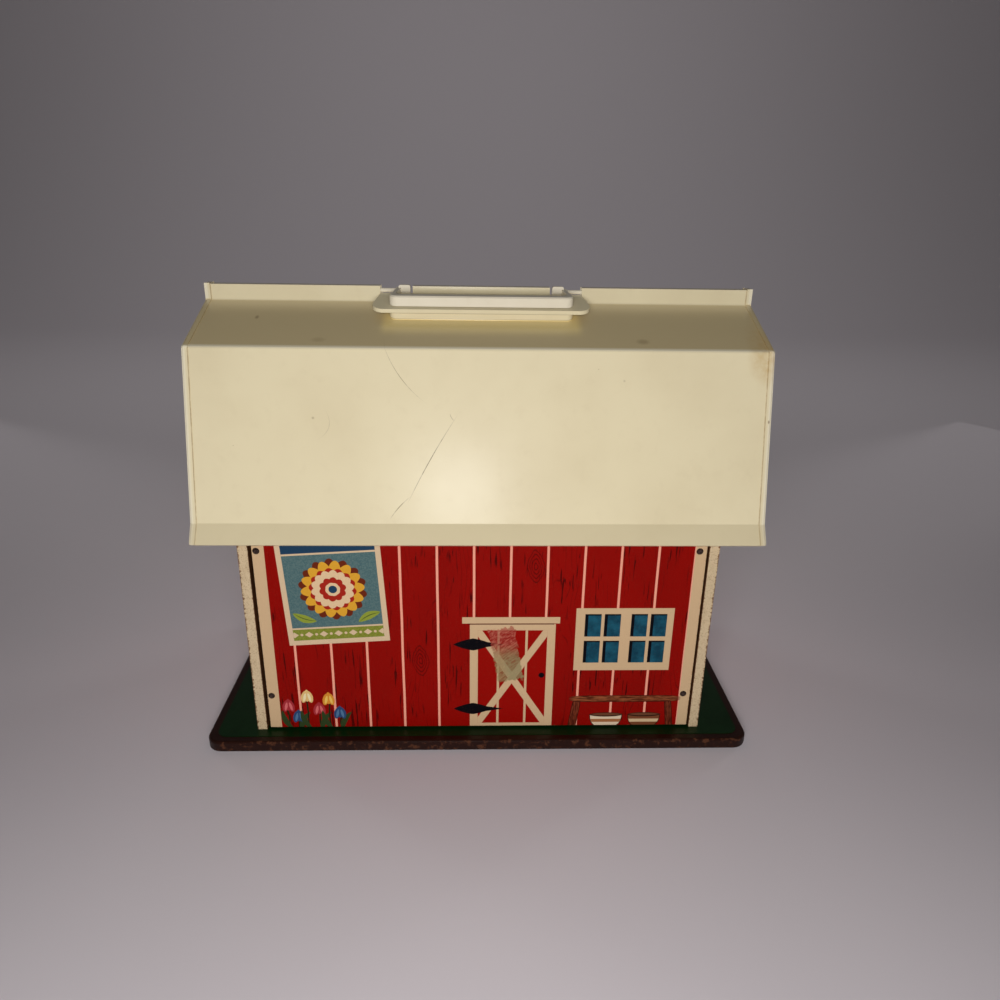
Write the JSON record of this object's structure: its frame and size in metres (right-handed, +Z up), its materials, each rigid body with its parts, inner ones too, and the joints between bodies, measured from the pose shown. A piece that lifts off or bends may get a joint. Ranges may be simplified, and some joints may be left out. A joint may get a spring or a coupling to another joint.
{
  "type": "toy barn",
  "caption": "Toy barn with red board walls and a cream gambrel roof; the back wall and its roof half fold down, the handle lifts and a pair of doors swings.",
  "frame": {"origin": "middle of the base board's underside", "axes": "+X to the right when the closed back wall is looked at, +Y from that back wall towards the doors, +Z up"},
  "size_m": [0.354, 0.173, 0.2856],
  "materials": {
    "base_brown": "dark stained hardboard, satin",
    "printed_green": "dark green printed sheet, varnished",
    "painted_board": "hardboard with a printed red board pattern, satin",
    "pine": "planed pine",
    "loft_board": "hardboard with a printed straw colour",
    "roof_cream": "aged cream, semi-gloss",
    "handle_white": "off-white, semi-gloss",
    "dark_steel": "darkened",
    "bright_steel": "plated",
    "black_strap": "black enamel",
    "knob_white": "painted, satin"
  },
  "bodies": {
    "barn": {"base_board": "base_brown", "base_sheet": "printed_green", "end_wall_left": "painted_board", "end_wall_right": "painted_board", "front_wall": "painted_board", "front_post_left": "pine", "front_post_right": "pine", "front_roof": "roof_cream", "loft_floor": "loft_board", "loft_cleat_left": "pine", "loft_cleat_right": "pine", "door_header": "pine", "pivot_pin_left": "dark_steel", "pivot_pin_right": "dark_steel", "wall_nails": "dark_steel", "front_roof_screws": "bright_steel", "hinge_frame_leaves": "black_strap"},
    "back_half": {"back_panel": "painted_board", "back_post_left": "pine", "back_post_right": "pine", "back_top_rail": "pine", "back_roof": "roof_cream", "panel_nails": "dark_steel", "back_roof_screws": "bright_steel"},
    "handle": {"carry_handle": "handle_white"},
    "left_door": {"door_left": "painted_board", "door_left_knob": "knob_white", "door_left_straps": "black_strap"},
    "right_door": {"door_right": "painted_board", "door_right_knob": "knob_white", "door_right_straps": "black_strap"}
  },
  "joints": [
    {"name": "back_half_fold", "type": "hinge", "parent": "barn", "child": "back_half", "pos_m": [0, -0.0675, 0.026], "axis": [1, 0, 0], "range_deg": [0, 93]},
    {"name": "handle_lift", "type": "hinge", "parent": "back_half", "child": "handle", "pos_m": [0, -0.00215, 0.2822], "axis": [-1, 0, 0], "range_deg": [0, 95]},
    {"name": "left_door_swing", "type": "hinge", "parent": "barn", "child": "left_door", "pos_m": [-0.052, 0.0755, 0.055], "axis": [0, 0, 1], "range_deg": [0, 150]},
    {"name": "right_door_swing", "type": "hinge", "parent": "barn", "child": "right_door", "pos_m": [0.052, 0.0755, 0.055], "axis": [0, 0, -1], "range_deg": [0, 150]}
  ]
}
